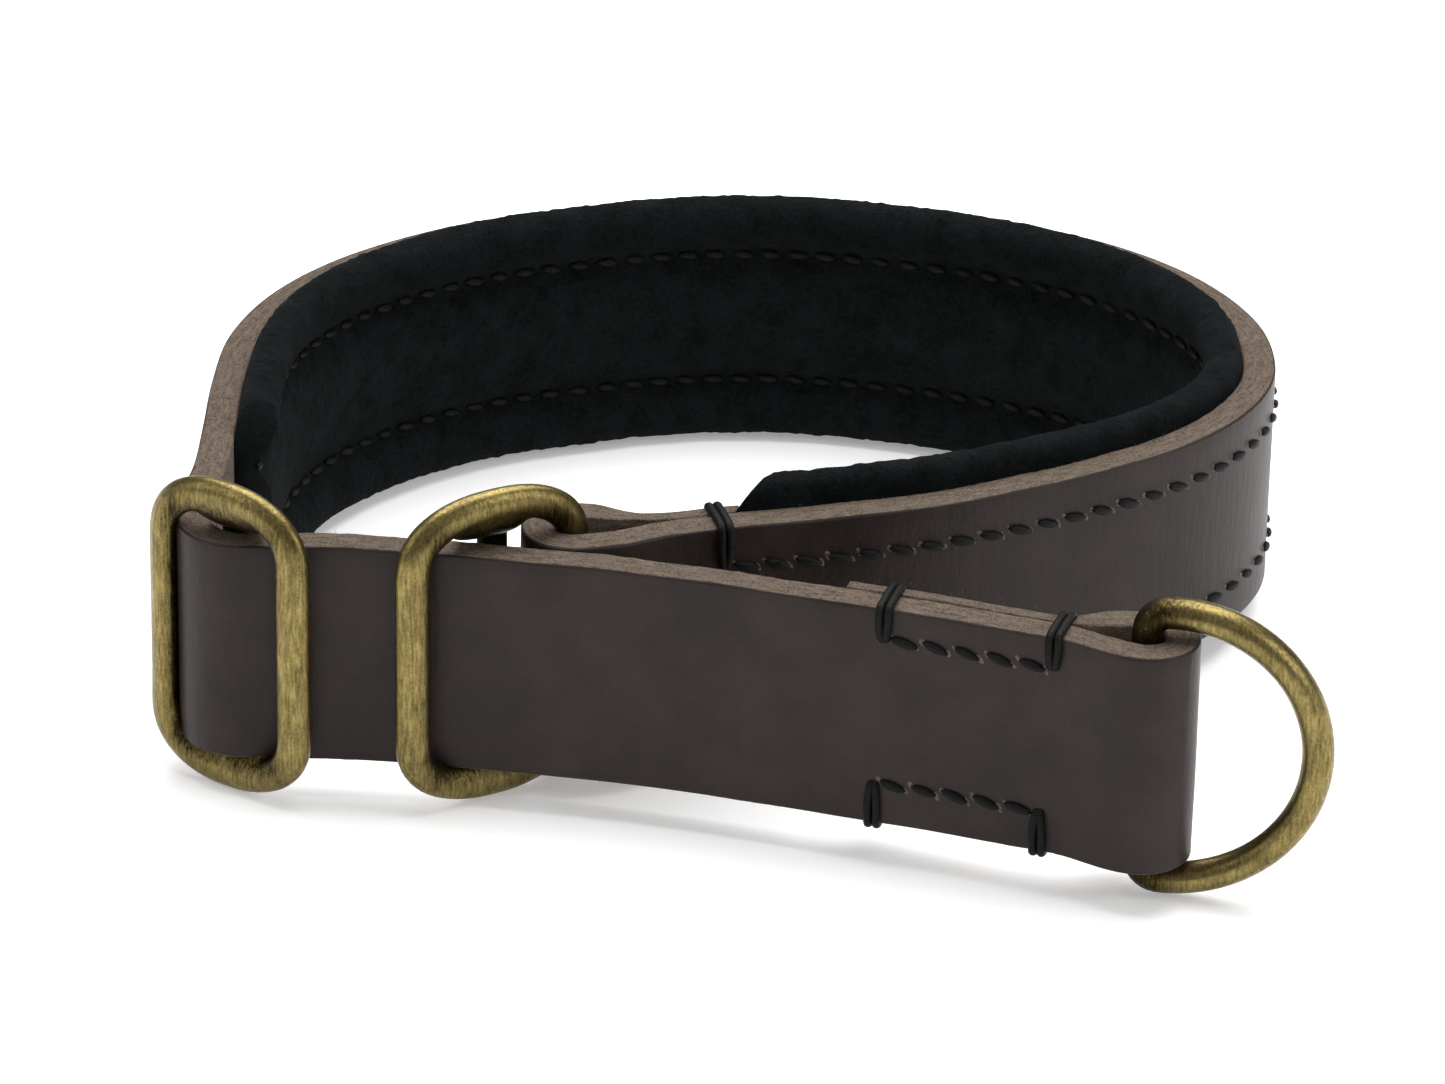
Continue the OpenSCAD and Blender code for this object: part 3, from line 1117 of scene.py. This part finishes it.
        for bm, name, rider in ((rims_band, "awl_rims_band", Rider.BAND),
                                (rims_pull, "awl_rims_ring_block", Rider.PULL)):
            settle(finish_mesh(bm, name), rider, self.finishes.torn)


@dataclass
class Slider:
    """A cast three-bar slider whose middle bar is set back and joined by a web at each end.

    Args:
        finishes: the collar's materials.
        name: the piece's name.
        rider: the body it moves with.
        node: the CAD node it stands for.
        bars: plan places of its two outer bars.
        middle: how far the middle bar is moved sideways and back.
        height: overall height.
        bar_w: width of an outer bar.
        bar_t: thickness of an outer bar.
        middle_half: half width and half thickness of the middle bar.
        web_half: half width of a web at the frame, how much it narrows by the middle bar,
            and its half thickness.
        arch: rise of the arched ends.
        squareness: power of the arch's curve, where 2 is an ellipse.
        twist: degrees by which the bars' section turns outwards.
        voxel: size of the cubes that the parts are melted with.
        smoothing: passes that round the joins.
    """

    finishes: Finishes
    name: str
    rider: Rider
    node: str
    bars: tuple[tuple[float, float], tuple[float, float]]
    middle: tuple[float, float]
    height: float = 36.0
    bar_w: float = SLIDER_BAR_W
    bar_t: float = 2.7
    middle_half: tuple[float, float] = (1.75, 1.35)
    web_half: tuple[float, float, float] = (5.3, 2.7, 0.98)
    arch: float = 6.4
    squareness: float = 2.3
    twist: float = 28.0
    voxel: float = 0.3
    smoothing: int = 7

    def outline(self, half: float) -> list[Vector]:
        """Returns the frame's middle line: straight sides and arched ends."""
        top = (self.height - self.bar_w) / 2
        shoulder = top - self.arch
        line: list[Vector] = []
        for side in (1, -1):
            line += [Vector((side * half, 0, side * z))
                     for z in np.linspace(-shoulder, shoulder, 26)]
            for turn in np.radians(np.linspace(3, 177, 46)):
                c, s = math.cos(turn), math.sin(turn)
                x = half * abs(c) ** (2 / self.squareness) * (1 if c > 0 else -1)
                z = shoulder + self.arch * s ** (2 / self.squareness)
                line.append(Vector((side * x, 0, side * z)))
        return line

    def build(self) -> None:
        """Builds the slider: bars and webs are joined, melted together and smoothed."""
        a, b = (Vector((*p, 0)) for p in self.bars)
        half = (b - a).length / 2
        top = (self.height - self.bar_w) / 2
        whole = bmesh.new()
        outline = self.outline(half)
        frame_bars = tube(outline, lambda _: (self.bar_w / 2, self.bar_t / 2),
                          lambda share: self._wide(outline, share, half), 20, closed=True)
        self._take(whole, frame_bars)
        mx, my = self.middle
        reach = top - 2.2
        bar = [Vector((mx, my, z)) for z in np.linspace(-reach, reach, 30)]
        self._take(whole, tube(bar, lambda _: self.middle_half, lambda _: Vector((1, 0, 0)), 16))
        wide, taper, thick = self.web_half
        for side in (1, -1):
            web = [Vector((mx * k * k, my * k ** 1.6, side * (top - 1.4 - 2.2 * k * (2 - k))))
                   for k in np.linspace(0, 1, 18)]
            self._take(whole, tube(web, lambda k: (wide - taper * smooth_step(k * 1.1), thick),
                                   lambda _: Vector((1, 0, 0)), 18))
        piece = self._melt(whole)
        self._mark_hollows(piece, half, top)
        centre = (a + b) / 2
        turn = math.atan2((b - a).y, (b - a).x)
        piece.data.transform(STAND @ Matrix.Translation(centre + Vector((0, 0, SLIDER_RISE)))
                             @ Matrix.Rotation(turn, 4, "Z"))
        settle(piece, self.rider, self.finishes.brass, [self.node])

    def _wide(self, outline: list[Vector], share: float, half: float) -> Vector:
        """Returns the wide direction of the frame's section: in its plane, turned with its bow."""
        i = min(round(share * len(outline)), len(outline) - 1)
        point, after = outline[i], outline[(i + 1) % len(outline)]
        along = (after - outline[i - 1]).normalized()
        in_plane = Vector((0, 1, 0)).cross(along)
        turn = math.radians(self.twist) * point.x / half * abs(in_plane.x)
        return Matrix.Rotation(turn, 3, "Z") @ in_plane

    @staticmethod
    def _take(whole: bmesh.types.BMesh, part: bmesh.types.BMesh) -> None:
        """Moves part into whole."""
        add_mesh(whole, part, Matrix.Identity(4))
        part.free()

    def _melt(self, whole: bmesh.types.BMesh) -> bpy.types.Object:
        """Returns the parts melted to one skin, with the soft fillets of a casting."""
        mesh = bpy.data.meshes.new(self.name)
        whole.to_mesh(mesh)
        whole.free()
        piece = bpy.data.objects.new(self.name, mesh)
        bpy.context.scene.collection.objects.link(piece)
        remesh = piece.modifiers.new("melt", "REMESH")
        remesh.mode = "VOXEL"
        remesh.voxel_size = self.voxel
        melted = bpy.data.meshes.new_from_object(
            piece.evaluated_get(bpy.context.evaluated_depsgraph_get()))
        piece.modifiers.clear()
        bm = bmesh.new()
        bm.from_mesh(melted)
        bpy.data.meshes.remove(melted)
        for _ in range(self.smoothing):
            bmesh.ops.smooth_vert(bm, verts=bm.verts, factor=0.5, use_axis_x=True,
                                  use_axis_y=True, use_axis_z=True)
        for face in bm.faces:
            face.smooth = True
        bm.to_mesh(mesh)
        bm.free()
        return piece

    def _mark_hollows(self, piece: bpy.types.Object, half: float, top: float) -> None:
        """Marks the webs and the inner sides, where the patina stays."""
        hollow = piece.data.attributes.new("hollow", "FLOAT", "POINT")
        values = []
        for vert in piece.data.vertices:
            x, y, z = vert.co
            web = smooth_step(1.3 - abs(x) / 4.5) * smooth_step((top - 0.6 - abs(z)) / 1.6)
            inner = smooth_step((half - 0.4 - abs(x)) / 2) * smooth_step((top - abs(z)) / 3)
            values.append(max(web * smooth_step((y + 0.4) / 1.5), inner * 0.7))
        hollow.data.foreach_set("value", values)


@dataclass
class LeashRing:
    """Cast D-shaped ring whose straight bar lies in the sewn fold.

    Args:
        finishes: the collar's materials.
        height: overall height.
        corner: radius where the straight bar meets the bow.
        bow: how far the middle of the bow's arc stands from the straight bar.
        turn: the ring's turn about its bar, in degrees.
    """

    finishes: Finishes
    height: float = 34.2
    corner: float = 2.3
    bow: float = 2.7
    turn: float = -7.7

    def outline(self) -> list[Vector]:
        """Returns the middle line of the wire."""
        reach = (self.height - RING_D) / 2
        straight = reach - self.corner
        line = [Vector((0, 0, z)) for z in np.linspace(-straight, straight, 40)]
        upper = arc((self.corner, reach - self.corner), self.corner, 172, 98, 8)
        bow = arc((self.bow, 0), reach, 90, -90, 96)
        lower = arc((self.corner, self.corner - reach), self.corner, 262, 188, 8)
        return line + [Vector((x, 0, z)) for x, z in np.vstack([upper, bow, lower])]

    def build(self) -> None:
        """Builds the ring."""
        outline = self.outline()

        def section(share: float) -> tuple[float, float]:
            """Returns the wire's half sizes, a little uneven from casting."""
            uneven = noise.noise(Vector((share * 23, 1.7, 0))) * 0.02
            return RING_D / 2 + uneven, RING_D / 2 - 0.06 - uneven

        bm = tube(outline, section, lambda _: Vector((0, 1, 0)), 28, closed=True)
        hollow = bm.verts.layers.float.new("hollow")
        for vert in bm.verts:
            vert[hollow] = 0.75 * smooth_step(1 - vert.co.x / 6)
        bm.transform(Matrix.Translation(ring_bar())
                     @ Matrix.Rotation(math.radians(self.turn), 4, "Z"))
        settle(finish_mesh(bm, "leash_ring"), Rider.RING, self.finishes.brass,
               ["d_ring"])


@dataclass
class LooseFibres:
    """Short fibres that stand out of the straps' cut edges.

    Args:
        finishes: the collar's materials.
        seed: start of their scatter.
    """

    finishes: Finishes
    seed: int = 11

    def __post_init__(self) -> None:
        """Makes the master fibre: a thin tapered sliver along z."""
        self.rng = random.Random(self.seed)
        self.fibre = bmesh.new()
        bmesh.ops.create_cone(self.fibre, cap_ends=True, segments=3, radius1=1.0, radius2=0.25,
                              depth=1.0, matrix=Matrix.Translation((0, 0, 0.5)))

    def scatter(self, bm: bmesh.types.BMesh, spots: Sequence[tuple[Vector, Vector]],
                length: tuple[float, float], thick: float) -> None:
        """Plants a fibre at each spot.

        Args:
            bm: mesh to add to.
            spots: place and rough direction of each.
            length: shortest and longest.
            thick: radius at the root.
        """
        for place, direction in spots:
            loose = Vector([self.rng.gauss(0, 0.6) for _ in range(3)])
            lean = (direction + loose).normalized()
            turn = lean.to_track_quat("Z", "Y").to_matrix().to_4x4()
            size = Matrix.Diagonal((thick, thick, self.rng.uniform(*length), 1))
            add_mesh(bm, self.fibre, Matrix.Translation(place - lean * 0.05) @ turn @ size)

    def edge_spots(self, route: Route, count: int) -> list[tuple[Vector, Vector]]:
        """Returns places scattered over both cut edges of a strap, each with a way out."""
        spots = []
        for _ in range(count):
            s = self.rng.uniform(0.0, route.total)
            side = 1 if self.rng.random() < 0.6 else -1
            offset = self.rng.uniform(-HALF_T, HALF_T * 0.85)
            spots.append((route.place(s, offset, side * HALF_W),
                          Vector((0, 0, side)) + route.outward(s) * offset * 0.3))
        return spots

    def build(self) -> None:
        """Builds the fibres of the straps."""
        for route, name, rider, count in ((pull_route(), "edge_fibres_pull", Rider.PULL, 420),
                                          (band_route(), "edge_fibres_band", Rider.BAND, 560)):
            bm = bmesh.new()
            self.scatter(bm, self.edge_spots(route, count), (0.15, 0.6), 0.035)
            settle(finish_mesh(bm, name), rider, self.finishes.torn)


# ---------------------------------------------------------------------------- studio


@dataclass
class Studio:
    """White sweep, large soft lights and the camera.

    Args:
        target: point on the floor that the camera looks at, in metres.
        elevation: camera's height above the horizon, in degrees.
        distance: camera's distance, in metres.
        roll: camera's roll, in degrees.
        lens: focal length on a 36 mm sensor.
    """

    target: Vector = field(default_factory=lambda: Vector((-0.00098, 0.02432, 0)))
    elevation: float = 27.5
    distance: float = 0.85
    roll: float = 1.04
    lens: float = 187.0

    def build(self) -> None:
        """Builds the floor, the lights and the camera."""
        bm = bmesh.new()
        bmesh.ops.create_grid(bm, x_segments=1, y_segments=1, size=3.0)
        mesh = bpy.data.meshes.new("floor")
        bm.to_mesh(mesh)
        bm.free()
        floor = bpy.data.objects.new("floor", mesh)
        floor.data.materials.append(StudioWhite().build())
        bpy.context.scene.collection.objects.link(floor)
        floor_mid, band_mid = (0.0, 0.0, 0.0), (0.0, 0.0, 0.01)
        self.light("overhead", (0.05, 0.26, 0.75), floor_mid, size=0.9, power=12.5)
        self.light("left_window", (-0.8, -0.25, 0.55), band_mid, size=0.7, power=2.4)
        self.light("right_window", (0.85, -0.35, 0.45), band_mid, size=0.6, power=3.2)
        self.light("front_fill", (0.0, -1.1, 0.9), floor_mid, size=0.9, power=0.7)
        world = bpy.data.worlds.new("studio_white")
        world.use_nodes = True
        glow = world.node_tree.nodes["Background"]
        glow.inputs["Color"].default_value = (1, 1, 1, 1)
        glow.inputs["Strength"].default_value = 0.24
        bpy.context.scene.world = world
        bpy.context.scene.view_settings.view_transform = "Standard"
        self.camera()

    def light(self, name: str, place: tuple[float, float, float],
              aim: tuple[float, float, float], size: float, power: float) -> None:
        """Adds a square soft light.

        Args:
            name: its name.
            place: where it stands, in metres.
            aim: what it looks at.
            size: side of its square.
            power: its power in watts.
        """
        data = bpy.data.lights.new(name, "AREA")
        data.size = size
        data.energy = power
        lamp = bpy.data.objects.new(name, data)
        lamp.location = place
        lamp.rotation_mode = "QUATERNION"
        lamp.rotation_quaternion = (Vector(aim) - Vector(place)).to_track_quat("-Z", "Y")
        bpy.context.scene.collection.objects.link(lamp)

    def camera(self) -> None:
        """Adds the camera."""
        data = bpy.data.cameras.new("camera")
        data.lens = self.lens
        data.sensor_width = 36.0
        data.sensor_fit = "HORIZONTAL"
        data.clip_start, data.clip_end = 0.01, 20.0
        camera = bpy.data.objects.new("camera", data)
        rise = math.radians(self.elevation)
        back = Vector((0, -math.cos(rise), math.sin(rise)))
        camera.location = self.target + back * self.distance
        camera.rotation_mode = "QUATERNION"
        camera.rotation_quaternion = ((-back).to_track_quat("-Z", "Y")
                                      @ Quaternion((0, 0, 1), math.radians(self.roll)))
        bpy.context.scene.collection.objects.link(camera)
        bpy.context.scene.camera = camera


def main() -> None:
    """Builds the collar and its studio, in order."""
    logging.basicConfig(level=logging.INFO, format="%(name)s %(message)s")
    finishes = Finishes()
    Studio().build()
    LeatherStrap(finishes).build()
    PaddedLining(finishes).build()
    Stitching(finishes).build()
    Slider(finishes, "slip_slider_casting", Rider.SLIP, "slip_slider", SLIP_BARS,
           SLIP_MIDDLE).build()
    Slider(finishes, "stop_slider_casting", Rider.STOP, "stop_slider", STOP_BARS,
           STOP_MIDDLE).build()
    LeashRing(finishes).build()
    LooseFibres(finishes).build()


if __name__ == "__main__":
    main()
